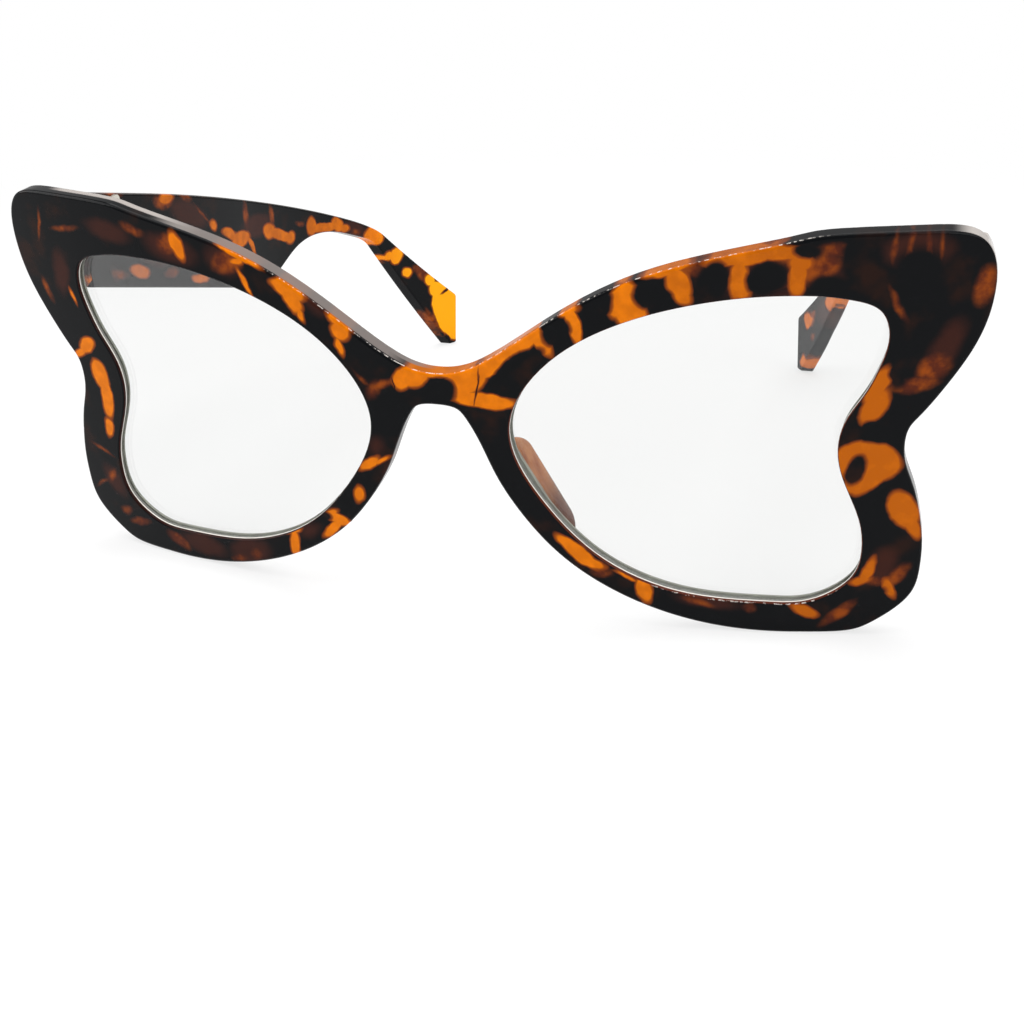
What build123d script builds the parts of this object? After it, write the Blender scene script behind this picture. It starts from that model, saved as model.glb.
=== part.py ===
from build123d import *
import os
from math import cos, radians, sin, sqrt, tan

# Butterfly sunglasses, in millimetres.
# Every piece is drawn square to the front: X to the right as seen from in front, Y back along the arms,
# Z up along the front. At the end the glasses are leaned to stand on the lower rims and the arms' tips.

# Front: overall sizes
front_width = 151.0
front_height = 63.3
front_thickness = 3.2
face_radius = 260.0
edge_rounding = 0.5
rim_rounding = 0.3
front_lean = 6.2

# Front: end pieces that carry the arms, which meet them a little behind the front's side edge
joint_setback = 0.94
end_piece_foot_drop = 22.0
end_piece_foot_rise = 6.0

# Lenses and their grooves
groove_depth = 0.9
groove_inset = 0.8
lens_thickness = 1.8
lens_bevel = 0.5
lens_clearance = 0.04

# Nose pads, moulded in one with the front
pad_length = 20.0
pad_width = 2.8
pad_root_sunk = 0.5
pad_reach = 5.0
pad_flare = 0.8
pad_slant = 29.0

# Arms
arm_thickness = 3.0
arm_inset = 7.9
arm_gap = 0.08
arm_convergence = 1.2
arm_bend_y = 66.0
arm_bend_radius = 136.0
arm_bend_sweep = 60.0
arm_end_y = 134.4
arm_top_drop = 2.0
arm_width = 16.1
arm_rounding = 0.5
arm_tip_rounding = 1.4
arm_foot = 2.0

# Hinges, each with three knuckles on one screw
knuckle_radius = 1.3
knuckle_height = 1.7
knuckle_gap = 0.06
hinge_drop = 5.3
pin_radius = 0.7
pin_clearance = 0.05
thread_clearance = 0.02
pin_inset = 1.55
leaf_proud = 0.8
leaf_sunk = 0.35
leaf_height = 4.6
leaf_setback = 1.6
leaf_length = 8.0
foot_reach = 2.6
foot_proud = 0.3
foot_sunk = 0.4
anchor_radius = 0.8
anchor_depth = 1.3
anchor_spacing = 2.6
anchor_clearance = 0.02
screw_head_radius = 1.15
screw_head_height = 0.8
screw_slot_width = 0.35
screw_slot_depth = 0.4

# One overrun for every cut
overrun = 2.0

# Shapes as shares of half the front's width and of its height
brow_start_share = (0.0, 0.654)
brow_shares = [(0.100, 0.692), (0.200, 0.775), (0.300, 0.852), (0.450, 0.927), (0.650, 0.982)]
brow_end_share = (0.880, 1.0)
wing_corner_shares = [(0.973, 0.975)]
wing_side_share = (1.0, 0.874)
wing_edge_shares = [(0.981, 0.750), (0.938, 0.650), (0.896, 0.575)]
waist_share = (0.876, 0.508)
lobe_edge_shares = [(0.900, 0.400), (0.922, 0.300)]
lobe_side_share = (0.930, 0.205)
lobe_corner_shares = [(0.914, 0.100), (0.855, 0.032)]
lobe_bottom_share = (0.695, 0.0)
nose_edge_shares = [(0.500, 0.028), (0.350, 0.098), (0.231, 0.200), (0.161, 0.300), (0.112, 0.400), (0.077, 0.500)]
nose_arch_shares = [(0.054, 0.550)]
arch_top_share = (0.0, 0.574)

# Lens opening, as shares of the same two sizes
opening_top_share = (0.650, 0.864)
opening_corner_shares = [(0.750, 0.855), (0.809, 0.828)]
opening_corner_side_share = (0.829, 0.768)
opening_edge_shares = [(0.819, 0.700), (0.782, 0.600)]
opening_waist_share = (0.757, 0.505)
opening_lobe_shares = [(0.778, 0.400), (0.810, 0.300)]
opening_lobe_side_share = (0.817, 0.235)
opening_lobe_corner_shares = [(0.797, 0.146), (0.750, 0.102)]
opening_bottom_share = (0.650, 0.085)
opening_nose_shares = [(0.500, 0.100), (0.387, 0.145), (0.264, 0.247), (0.200, 0.350), (0.158, 0.450)]
opening_nose_side_share = (0.144, 0.523)
opening_brow_shares = [(0.160, 0.600), (0.227, 0.700), (0.368, 0.800), (0.506, 0.850)]
outline_step_shares = [0.0, 0.25, 0.5, 0.75]

# Nose pad: its middle on the front, and its form at four depths as shares of reach, length and width
pad_place_share = (0.184, 0.335)
pad_depth_shares = [0.0, 0.50, 0.86, 1.0]
pad_length_shares = [1.0, 0.93, 0.78, 0.52]
pad_width_shares = [1.0, 0.82, 0.58, 0.26]

# Arm outline, as shares of the run from the joint to the tip and of the arm's drop along it
arm_top_shares = [(0.240, 0.118), (0.425, 0.220), (0.590, 0.322), (0.710, 0.408), (0.785, 0.472)]
arm_shoulder_share = (0.830, 0.527)
arm_tip_top_share = (1.0, 0.825)
arm_tip_corner_share = 0.992
arm_heel_corner_share = (0.463, 0.492)
arm_scoop_shares = [(0.521, 0.468), (0.575, 0.437), (0.630, 0.428), (0.700, 0.452), (0.760, 0.496)]
arm_scoop_end_share = (0.810, 0.556)

half_width = front_width / 2


def on_front(share):
    return (share[0] * half_width, share[1] * front_height)


def face_depth(x):
    return face_radius - sqrt(face_radius**2 - x**2)


# Places that follow from the sizes: the arms meet the end pieces in one plane behind the front
joint_y = face_depth(half_width) + front_thickness + joint_setback
arm_outer_x = half_width - arm_inset
arm_inner_x = arm_outer_x - arm_thickness
arm_top_z = front_height - arm_top_drop
arm_heel_z = arm_top_z - arm_width
arm_run = arm_end_y - joint_y
end_piece_foot_z = front_height - end_piece_foot_drop
hinge_z = arm_top_z - hinge_drop
pad_x, pad_z = on_front(pad_place_share)

# Floor line under the lobes, seen from the side
lobe_x, lobe_z = on_front(lobe_bottom_share)
lobe_contact_y = face_depth(lobe_x) + edge_rounding
lobe_contact_z = lobe_z + edge_rounding


def floor_z(y):
    fall = (lobe_contact_y - y) * tan(radians(front_lean))
    return lobe_contact_z + fall - edge_rounding / cos(radians(front_lean))


arm_tip_z = floor_z(arm_end_y)
arm_drop = arm_top_z - arm_tip_z


def on_arm(share):
    return (joint_y + share[0] * arm_run, arm_top_z - share[1] * arm_drop)


def spline_through(start, shares, end, place, start_way, end_way):
    points = [place(share) for share in [start] + shares + [end]]
    return Spline(*points, tangents=[start_way, end_way])


right, left, up, down = (1, 0), (-1, 0), (0, 1), (0, -1)

# The front's outline, one half of it, drawn as it is seen from in front
with BuildSketch(Plane.XZ) as half_outline:
    with BuildLine():
        spline_through(brow_start_share, brow_shares, brow_end_share, on_front, right, right)
        spline_through(brow_end_share, wing_corner_shares, wing_side_share, on_front, right, down)
        spline_through(wing_side_share, wing_edge_shares, waist_share, on_front, down, down)
        spline_through(waist_share, lobe_edge_shares, lobe_side_share, on_front, down, down)
        spline_through(lobe_side_share, lobe_corner_shares, lobe_bottom_share, on_front, down, left)
        nose_shares = nose_edge_shares + nose_arch_shares
        spline_through(lobe_bottom_share, nose_shares, arch_top_share, on_front, left, left)
        Line(on_front(arch_top_share), on_front(brow_start_share))
    make_face()

# The lens opening of the same half, as curves in the order in which they run
with BuildLine() as opening_line:
    top_corner = spline_through(opening_top_share, opening_corner_shares, opening_corner_side_share,
                                on_front, right, down)
    upper_side = spline_through(opening_corner_side_share, opening_edge_shares, opening_waist_share,
                                on_front, down, down)
    lower_side = spline_through(opening_waist_share, opening_lobe_shares, opening_lobe_side_share,
                                on_front, down, down)
    lower_corner = spline_through(opening_lobe_side_share, opening_lobe_corner_shares,
                                  opening_bottom_share, on_front, down, left)
    nose_side = spline_through(opening_bottom_share, opening_nose_shares, opening_nose_side_share,
                               on_front, left, up)
    brow_side = spline_through(opening_nose_side_share, opening_brow_shares, opening_top_share,
                               on_front, up, right)
opening_edges = [top_corner, upper_side, lower_side, lower_corner, nose_side, brow_side]


def bent_band(front_inset, back_inset):
    """The space between two depths behind the bent face, over the whole height."""
    with BuildPart() as band:
        with BuildSketch(Plane.XY.offset(-overrun)):
            with Locations((0, face_radius)):
                Circle(face_radius - front_inset)
                Circle(face_radius - back_inset, mode=Mode.SUBTRACT)
        extrude(amount=front_height + 2 * overrun)
    return band.part


def grown_opening(margin):
    """The opening's outline moved outwards by a margin, as one closed curve."""
    moved = []
    for edge in opening_edges:
        for share in outline_step_shares:
            way = edge % share
            moved.append(edge @ share + Vector(-way.Y, way.X) * margin)
    return Spline(*moved, periodic=True)


def lens_blank(front_inset, thickness, grown):
    """A slab in the shape of the lens opening, grown outwards, bent like the front."""
    with BuildPart() as blank:
        with BuildSketch(Plane.XZ.offset(overrun)):
            with BuildLine():
                grown_opening(grown)
            make_face()
        extrude(amount=-(joint_y + 2 * overrun))
        add(bent_band(front_inset, front_inset + thickness), mode=Mode.INTERSECT)
    return blank.part


# End piece that carries the arm: a block behind the plate, no higher than the arm
with BuildPart() as end_piece:
    with BuildSketch(Plane.XZ.offset(overrun)):
        add(half_outline.sketch_local)
    extrude(amount=-(joint_y + overrun))
    add(bent_band(front_thickness / 2, face_radius / 2), mode=Mode.INTERSECT)
    with BuildSketch(Plane.YZ.offset(arm_inner_x)):
        with BuildLine():
            Polyline((0, end_piece_foot_z), (joint_y + overrun, end_piece_foot_z + end_piece_foot_rise),
                     (joint_y + overrun, arm_top_z), (0, arm_top_z), close=True)
        make_face()
    extrude(amount=half_width, mode=Mode.INTERSECT)
    end_edges = end_piece.edges().group_by(Axis.Y)[-1]
    fillet(end_edges.filter_by(lambda e: e.geom_type != GeomType.LINE), radius=edge_rounding)


def is_off_centre(edge):
    return (edge @ 0.5).X > lens_clearance


# The hinge pin stands inside the arm, level with the joint
pin_x = arm_inner_x - pin_inset
hinge_height = 3 * knuckle_height + 2 * knuckle_gap
hinge_bottom = hinge_z - hinge_height / 2
knuckle_bottoms = [hinge_bottom + i * (knuckle_height + knuckle_gap) for i in range(3)]
foot_inner_x = pin_x - foot_reach
foot_front_y = face_depth(foot_inner_x) + front_thickness - foot_sunk
foot_back_y = face_depth(pin_x + knuckle_radius) + front_thickness + foot_proud
leaf_start_y = joint_y + leaf_setback
leaf_z = hinge_z


def foot_shape(clearance):
    """The foot of the front leaf with its two anchors, grown by a clearance."""
    with BuildPart() as foot:
        with BuildSketch(Plane.XZ.offset(-foot_front_y)):
            with Locations(((foot_inner_x + pin_x + knuckle_radius) / 2, hinge_z)):
                Rectangle(foot_reach + knuckle_radius + 2 * clearance, hinge_height + 2 * clearance)
        extrude(amount=-(foot_back_y - foot_front_y))
        with BuildSketch(Plane.XZ.offset(-foot_front_y)):
            with Locations((pin_x - knuckle_radius, hinge_z)):
                with GridLocations(0, anchor_spacing, 1, 2):
                    Circle(anchor_radius + clearance)
        extrude(amount=anchor_depth + clearance)
    return foot.part


def leaf_shape(clearance):
    """The plate of the arm's leaf with its two anchors, grown by a clearance."""
    with BuildPart() as leaf:
        with BuildSketch(Plane.YZ.offset(arm_inner_x - leaf_proud)):
            with Locations((leaf_start_y + leaf_length / 2, leaf_z)):
                RectangleRounded(leaf_length + 2 * clearance, leaf_height + 2 * clearance,
                                 anchor_radius + clearance)
        extrude(amount=leaf_proud + leaf_sunk + clearance)
        with BuildSketch(Plane.YZ.offset(arm_inner_x)):
            with Locations((leaf_start_y + leaf_length / 2, leaf_z)):
                with GridLocations(leaf_length / 2, 0, 2, 1):
                    Circle(anchor_radius + clearance)
        extrude(amount=leaf_sunk + anchor_depth + clearance)
    return leaf.part


# Nose pad: a fin with a rounded crown, leaning away from the nose
with BuildPart() as nose_pad:
    for depth_share, length_share, width_share in zip(pad_depth_shares, pad_length_shares, pad_width_shares):
        flare = pad_flare * depth_share
        pad_y = front_thickness - pad_root_sunk + (pad_reach + pad_root_sunk) * depth_share
        pad_middle = (pad_x + flare * cos(radians(pad_slant)), pad_z + flare * sin(radians(pad_slant)))
        with BuildSketch(Plane.XZ.offset(-pad_y)):
            with Locations(pad_middle):
                SlotOverall(pad_length * length_share, pad_width * width_share, rotation=pad_slant - 90)
    loft()

with BuildPart() as front_half:
    with BuildSketch(Plane.XZ.offset(overrun)):
        add(half_outline.sketch_local)
    extrude(amount=-(joint_y + overrun))
    add(bent_band(0, front_thickness), mode=Mode.INTERSECT)
    fillet(front_half.edges().filter_by(is_off_centre), radius=edge_rounding)
    with BuildSketch(Plane.XZ.offset(overrun)):
        with BuildLine():
            grown_opening(0)
        make_face()
    extrude(amount=-(joint_y + 2 * overrun), mode=Mode.SUBTRACT)
    fillet(front_half.edges().filter_by(lambda e: e.is_closed), radius=rim_rounding)
    add(end_piece.part)
    add(nose_pad.part)
    add(lens_blank(groove_inset - lens_clearance, lens_thickness + 2 * lens_clearance, groove_depth),
        mode=Mode.SUBTRACT)
    add(foot_shape(anchor_clearance), mode=Mode.SUBTRACT)

with BuildPart() as front_frame:
    add(front_half.part)
    mirror(about=Plane.YZ)

# Lenses, snapped into the grooves
with BuildPart() as lens_right:
    add(lens_blank(groove_inset, lens_thickness, groove_depth - lens_clearance))
    chamfer(lens_right.edges().filter_by(lambda e: e.length > lens_thickness * 2), length=lens_bevel)

# Right arm: a plate bent inwards behind the ear, cut to its side outline
arm_way = (-sin(radians(arm_convergence)), cos(radians(arm_convergence)))
arm_start_y = joint_y + arm_gap
bend_x = arm_outer_x - (arm_bend_y - arm_start_y) * tan(radians(arm_convergence))
inner_bend = (bend_x - arm_thickness * arm_way[1], arm_bend_y + arm_thickness * arm_way[0])
inner_start_x = inner_bend[0] + (inner_bend[1] - arm_start_y) * tan(radians(arm_convergence))
foot_corner_y = joint_y + arm_tip_corner_share * arm_run
foot_heel_y = foot_corner_y - arm_foot

with BuildPart() as arm_right:
    with BuildSketch(Plane.XY.offset(arm_tip_z - overrun)):
        with BuildLine():
            outer_run = Line((arm_outer_x, arm_start_y), (bend_x, arm_bend_y))
            outer_bend = JernArc(outer_run @ 1, arm_way, arm_bend_radius + arm_thickness, arm_bend_sweep)
            inner_run = Line((inner_start_x, arm_start_y), inner_bend)
            inner_arc = JernArc(inner_run @ 1, arm_way, arm_bend_radius, arm_bend_sweep)
            Line(outer_bend @ 1, inner_arc @ 1)
            Line(outer_run @ 0, inner_run @ 0)
        make_face()
    extrude(amount=arm_drop + 2 * overrun)
    with BuildSketch(Plane.YZ) as arm_outline:
        with BuildLine():
            top_points = [on_arm(share) for share in arm_top_shares]
            shoulder, tip_top = on_arm(arm_shoulder_share), on_arm(arm_tip_top_share)
            tip_way = (tip_top[0] - shoulder[0], tip_top[1] - shoulder[1])
            first_way = (top_points[0][0] - joint_y, top_points[0][1] - arm_top_z)
            Spline((joint_y, arm_top_z), *top_points, shoulder, tangents=[first_way, tip_way])
            tip = Polyline(shoulder, tip_top, (foot_corner_y, floor_z(foot_corner_y)),
                           (foot_heel_y, floor_z(foot_heel_y)), on_arm(arm_scoop_end_share))
            heel_corner = on_arm(arm_heel_corner_share)
            scoop_points = [on_arm(share) for share in arm_scoop_shares]
            back_way = (on_arm(arm_scoop_end_share)[0] - foot_heel_y,
                        on_arm(arm_scoop_end_share)[1] - floor_z(foot_heel_y))
            scoop_way = (heel_corner[0] - scoop_points[0][0], heel_corner[1] - scoop_points[0][1])
            Spline(on_arm(arm_scoop_end_share), *reversed(scoop_points), heel_corner,
                   tangents=[back_way, scoop_way])
            Polyline(heel_corner, (joint_y, arm_heel_z), (joint_y, arm_top_z))
        make_face()
        tip_corners = arm_outline.vertices().group_by(Axis.X)[-1]
        fillet(tip_corners, radius=arm_tip_rounding)
    extrude(amount=half_width, mode=Mode.INTERSECT)
    long_edges = arm_right.edges().filter_by(lambda e: (e @ 0.5).Y > arm_start_y + lens_clearance)
    fillet(long_edges, radius=arm_rounding)
    add(leaf_shape(anchor_clearance), mode=Mode.SUBTRACT)

# Hinge leaf in the front: two knuckles on posts, with a foot let into the rim
with BuildPart() as front_leaf_right:
    add(foot_shape(0))
    for knuckle_bottom in (knuckle_bottoms[0], knuckle_bottoms[2]):
        with BuildSketch(Plane.XY.offset(knuckle_bottom)):
            with Locations((pin_x, (foot_back_y + joint_y) / 2)):
                Rectangle(2 * knuckle_radius, joint_y - foot_back_y)
            with Locations((pin_x, joint_y)):
                Circle(knuckle_radius)
        extrude(amount=knuckle_height)
    with BuildSketch(Plane.XY.offset(hinge_bottom)):
        with Locations((pin_x, joint_y)):
            Circle(pin_radius + thread_clearance)
    extrude(amount=knuckle_height, mode=Mode.SUBTRACT)
    with BuildSketch(Plane.XY.offset(knuckle_bottoms[2])):
        with Locations((pin_x, joint_y)):
            Circle(pin_radius + pin_clearance)
    extrude(amount=knuckle_height, mode=Mode.SUBTRACT)

# Hinge leaf in the arm: one knuckle on a neck, with a plate let into the arm
with BuildPart() as arm_leaf_right:
    add(leaf_shape(0))
    neck_back_y = leaf_start_y + leaf_proud
    neck_outer_x = arm_inner_x - (neck_back_y - joint_y) * tan(radians(arm_convergence)) - anchor_clearance
    with BuildSketch(Plane.XY.offset(knuckle_bottoms[1])):
        with BuildLine():
            Polyline((pin_x, joint_y), (pin_x, neck_back_y), (neck_outer_x, neck_back_y),
                     (neck_outer_x, joint_y), close=True)
        make_face()
        with Locations((pin_x, joint_y)):
            Circle(knuckle_radius)
            Circle(pin_radius + pin_clearance, mode=Mode.SUBTRACT)
    extrude(amount=knuckle_height)

# Hinge screw: its plain shank is the pin
with BuildPart() as screw_right:
    with BuildSketch(Plane.XY.offset(hinge_bottom)):
        with Locations((pin_x, joint_y)):
            Circle(pin_radius)
    extrude(amount=hinge_height)
    with BuildSketch(Plane.XY.offset(hinge_bottom + hinge_height)):
        with Locations((pin_x, joint_y)):
            Circle(screw_head_radius)
    extrude(amount=screw_head_height)
    with BuildSketch(Plane.XY.offset(hinge_bottom + hinge_height + screw_head_height)):
        with Locations((pin_x, joint_y)):
            Rectangle(2 * screw_head_radius, screw_slot_width)
    extrude(amount=-screw_slot_depth, mode=Mode.SUBTRACT)

# Each side piece and its mirror image
pieces = {"front_frame": front_frame.part}
side_pieces = {
    "lens": lens_right.part,
    "temple": arm_right.part,
    "hinge_front_leaf": front_leaf_right.part,
    "hinge_temple_leaf": arm_leaf_right.part,
    "hinge_screw": screw_right.part,
}
for name, piece in side_pieces.items():
    pieces[name + "_right"] = piece
    pieces[name + "_left"] = piece.mirror(Plane.YZ)

# Lean the glasses onto the floor, with the middle of their footprint at the origin
leaned = {name: Rot(X=front_lean) * piece for name, piece in pieces.items()}
whole_box = Compound(list(leaned.values())).bounding_box()
seat = Pos(0, -whole_box.center().Y, -whole_box.min.Z)
os.makedirs("parts", exist_ok=True)
for name, piece in leaned.items():
    standing = seat * piece
    standing.label = name
    export_step(standing, f"parts/{name}.step")

pin_foot = (seat * Rot(X=front_lean) * Pos(pin_x, joint_y, hinge_bottom)).position
print("hinge pins stand at", pin_foot, "and lean back by", -front_lean)
print("size", whole_box.size)
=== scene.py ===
import bpy, math
from mathutils import Matrix, Vector

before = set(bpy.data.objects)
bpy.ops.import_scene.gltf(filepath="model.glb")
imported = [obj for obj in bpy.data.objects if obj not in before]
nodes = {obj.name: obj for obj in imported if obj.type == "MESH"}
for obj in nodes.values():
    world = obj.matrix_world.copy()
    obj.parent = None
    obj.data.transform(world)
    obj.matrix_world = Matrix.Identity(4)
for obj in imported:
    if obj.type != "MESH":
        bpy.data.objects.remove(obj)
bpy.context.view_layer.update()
print("frame loaded:", len(nodes), "pieces")

# The patches are placed as on a drawing that is square to the front, in millimetres:
# x to the right seen from in front, y back along the arms, z up the front from the rims' lowest point.
standing = {
    "lean": 6.2,  # degrees that the front leans back
    "seat": (0.0, -64.657, -0.613),  # where the drawing's origin stands in the frame
    "faceRadius": 260.0,  # bend of the front face
}
millimetre = 0.001  # in metres, the frame's unit
fromDrawing = Matrix.Translation(Vector(standing["seat"]))
fromDrawing @= Matrix.Rotation(math.radians(standing["lean"]), 4, "X")
toDrawing = fromDrawing.inverted()


# Small helpers for shader nodes
def addNode(tree, kind, inputs=None, **settings):
    node = tree.nodes.new(kind)
    for name, value in settings.items():
        setattr(node, name, value)
    for socket, value in (inputs or {}).items():
        if isinstance(value, bpy.types.NodeSocket):
            tree.links.new(value, node.inputs[socket])
        else:
            node.inputs[socket].default_value = value
    return node


def doMath(tree, operation, *values):
    return addNode(tree, "ShaderNodeMath", dict(enumerate(values)), operation=operation).outputs[0]


def doVector(tree, operation, *values):
    return addNode(tree, "ShaderNodeVectorMath", dict(enumerate(values)), operation=operation).outputs[0]


def multiply(tree, first, *others):
    for other in others:
        first = doMath(tree, "MULTIPLY", first, other)
    return first


# From nothing to one between two limits; it falls where the first limit is the higher one
def fade(tree, value, limits):
    inputs = {0: value, 1: limits[0], 2: limits[1], 3: 0.0, 4: 1.0}
    return addNode(tree, "ShaderNodeMapRange", inputs, interpolation_type="SMOOTHSTEP").outputs[0]


# One along a stretch, which has a fade at each end
def along(tree, value, stretch):
    return multiply(tree, fade(tree, value, stretch[0]), fade(tree, value, stretch[1]))


def blendColour(tree, share, first, second):
    return addNode(tree, "ShaderNodeMix", {0: share, 6: first, 7: second}, data_type="RGBA").outputs[2]


# Noise; its look gives the scale and the detail
def cloud(tree, point, look):
    inputs = {"Vector": point, "Scale": look["scale"], "Detail": look["detail"]}
    return addNode(tree, "ShaderNodeTexNoise", inputs).outputs


# A value that noise moves up and down by half the spread
def uneven(tree, middle, spread, noise):
    return doMath(tree, "MULTIPLY_ADD", noise, spread, middle - spread / 2)


def rubbedEdges(tree, limits):
    return fade(tree, addNode(tree, "ShaderNodeNewGeometry").outputs["Pointiness"], limits)


def newMaterial(name):
    material = bpy.data.materials.new(name)
    material.use_nodes = True
    return material, material.node_tree, material.node_tree.nodes["Principled BSDF"]


def setMaterial(name, material):
    for slot in nodes[name].material_slots:
        slot.material = material


def drawingPoint(tree):
    where = addNode(tree, "ShaderNodeTexCoord").outputs["Object"]
    toMillimetres = (1 / millimetre,) * 3
    inputs = {"Vector": where, "Location": toDrawing.translation, "Rotation": toDrawing.to_euler(),
              "Scale": toMillimetres}
    return addNode(tree, "ShaderNodeMapping", inputs, vector_type="POINT").outputs[0]


# Which way the surface is turned, in the piece's own space
def pieceNormal(tree):
    normal = addNode(tree, "ShaderNodeNewGeometry").outputs["Normal"]
    return addNode(tree, "ShaderNodeVectorTransform", {0: normal}, vector_type="NORMAL",
                   convert_from="WORLD", convert_to="OBJECT").outputs[0]


def drawingNormal(tree):
    inputs = {"Vector": pieceNormal(tree), "Rotation": toDrawing.to_euler()}
    return addNode(tree, "ShaderNodeMapping", inputs, vector_type="POINT").outputs[0]


def splitPoint(tree, point):
    return addNode(tree, "ShaderNodeSeparateXYZ", {0: point}).outputs


# One oval patch of shell: how deep a point lies inside it, in millimetres
ovalSockets = {
    "Point": "NodeSocketVector",
    "Middle": "NodeSocketVector",
    "Turn": "NodeSocketFloat",
    "Shrink": "NodeSocketVector",
    "Reach": "NodeSocketFloat",
}


def makeOvalGroup():
    group = bpy.data.node_groups.new("shellOval", "ShaderNodeTree")
    for name, kind in ovalSockets.items():
        group.interface.new_socket(name, in_out="INPUT", socket_type=kind)
    group.interface.new_socket("Depth", in_out="OUTPUT", socket_type="NodeSocketFloat")
    given = group.nodes.new("NodeGroupInput").outputs
    offset = doVector(group, "SUBTRACT", given["Point"], given["Middle"])
    turned = addNode(group, "ShaderNodeVectorRotate", {"Vector": offset, "Angle": given["Turn"]},
                     rotation_type="Z_AXIS").outputs[0]
    shrunk = doVector(group, "MULTIPLY", turned, given["Shrink"])
    distance = addNode(group, "ShaderNodeVectorMath", {0: shrunk}, operation="LENGTH").outputs["Value"]
    depth = multiply(group, doMath(group, "SUBTRACT", 1.0, distance), given["Reach"])
    group.links.new(depth, group.nodes.new("NodeGroupOutput").inputs["Depth"])
    return group


shellOval = makeOvalGroup()


def patchDepth(tree, point, patches):
    deepest = None
    for across, up, halfLength, halfWidth, turn in patches:
        inputs = {"Point": point, "Middle": (across, up, 0), "Turn": -math.radians(turn),
                  "Shrink": (1 / halfLength, 1 / halfWidth, 0), "Reach": (halfLength * halfWidth) ** 0.5}
        depth = addNode(tree, "ShaderNodeGroup", inputs, node_tree=shellOval).outputs[0]
        deepest = depth if deepest is None else doMath(tree, "MAXIMUM", deepest, depth)
    return deepest


shellLook = {
    "ink": (0.0032, 0.0036, 0.0044, 1),  # blue-black body
    "smoke": (0.016, 0.006, 0.004, 1),  # brown haze in the black
    "umber": (0.050, 0.013, 0.008, 1),  # smoky patches
    "brown": (0.085, 0.016, 0.006, 1),  # dim patches, mixed with rust
    "rust": (0.26, 0.052, 0.004, 1),
    "honey": (0.44, 0.098, 0.001, 1),  # lit patches, mixed with amber
    "amber": (0.74, 0.182, 0.001, 1),
    "sunlit": (0.96, 0.40, 0.002, 1),  # thin plastic at the left tip
    "reflectionGrey": (0.190, 0.166, 0.155, 1),  # painted reflection on the top wall, in grey
    "paleReflection": (0.50, 0.46, 0.43, 1),  # brighter painted reflection, where it catches more light
    "wander": 0.55,  # how far patch edges stray, as a share of the reach of the clouds below
    "smokyShare": 0.7,
    "sunlitFrom": 0.6,  # glow above which a lit patch turns sunlit
}

# How patches fade in; the limits are depths inside their ovals, in millimetres
patchFade = {
    "smoky": (-0.8, 1.6),
    "dim": (-0.50, 1.20),
    "rustyRim": (-0.55, 0.05),  # round each lit patch
    "lit": (-0.08, 0.30),
}

# Clouds in the shell: scales are for millimetres, and limits are levels of noise
shellCloud = {
    "sway": {"scale": 0.23, "detail": 2.0, "reach": 2.6},
    "shiver": {"scale": 0.85, "detail": 3.0, "reach": 0.5},
    "haze": {"scale": 0.16, "detail": 3.0, "limits": (0.52, 0.72)},
    "grain": {"scale": 0.5, "detail": 3.0, "inDim": (0.35, 0.70), "inLit": (0.30, 0.75), "warmth": 0.5},
}


def strayPoint(tree, point, wander):
    moved = point
    for kind in ("sway", "shiver"):
        look = shellCloud[kind]
        noise = cloud(tree, point, look)["Color"]
        centred = doVector(tree, "SUBTRACT", noise, (0.5, 0.5, 0.5))  # noise lies about a half
        inputs = {0: centred, "Scale": look["reach"] * wander}
        stray = addNode(tree, "ShaderNodeVectorMath", inputs, operation="SCALE").outputs[0]
        moved = doVector(tree, "ADD", moved, stray)
    return moved


# The two drawing axes in which patches are placed
frontPlane = (0, 2)  # across and up
armPlane = (1, 2)  # back and up


# Shell colour: a hazy black body with smoky, dim and lit patches, and dark ones cut out of them
def tortoiseshell(name, plane, patches, glow, look=shellLook):
    material, tree, shader = newMaterial(name)
    point = drawingPoint(tree)
    axes = splitPoint(tree, strayPoint(tree, point, look["wander"]))
    flat = addNode(tree, "ShaderNodeCombineXYZ", {0: axes[plane[0]], 1: axes[plane[1]]}).outputs[0]
    depth = {kind: patchDepth(tree, flat, patches[kind]) for kind in ("lit", "dim", "dark", "smoky")}
    notDark = multiply(tree, depth["dark"], -1.0)
    lit, dim, smoky = (doMath(tree, "MINIMUM", depth[kind], notDark) for kind in ("lit", "dim", "smoky"))

    haze = shellCloud["haze"]
    hazeShare = fade(tree, cloud(tree, point, haze)[0], haze["limits"])
    colour = blendColour(tree, hazeShare, look["ink"], look["smoke"])
    smokyShare = multiply(tree, fade(tree, smoky, patchFade["smoky"]), look["smokyShare"])
    colour = blendColour(tree, smokyShare, colour, look["umber"])

    grain = shellCloud["grain"]
    noise = cloud(tree, point, grain)[0]
    dimTone = blendColour(tree, fade(tree, noise, grain["inDim"]), look["brown"], look["rust"])
    colour = blendColour(tree, fade(tree, dim, patchFade["dim"]), colour, dimTone)
    colour = blendColour(tree, fade(tree, lit, patchFade["rustyRim"]), colour, look["rust"])

    glowing = glow(tree, point)
    warmth = doMath(tree, "MULTIPLY_ADD", fade(tree, noise, grain["inLit"]), grain["warmth"], glowing)
    litTone = blendColour(tree, warmth, look["honey"], look["amber"])
    sunlit = doMath(tree, "SUBTRACT", glowing, look["sunlitFrom"])
    litTone = blendColour(tree, sunlit, litTone, look["sunlit"])
    colour = blendColour(tree, fade(tree, lit, patchFade["lit"]), colour, litTone)
    return material, tree, shader, point, colour


# Walls that face up: limits for how far the surface is turned up, and how little to the front or back
upwardWall = {"up": (0.45, 0.65), "frontOrBack": (0.55, 0.30)}


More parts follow.
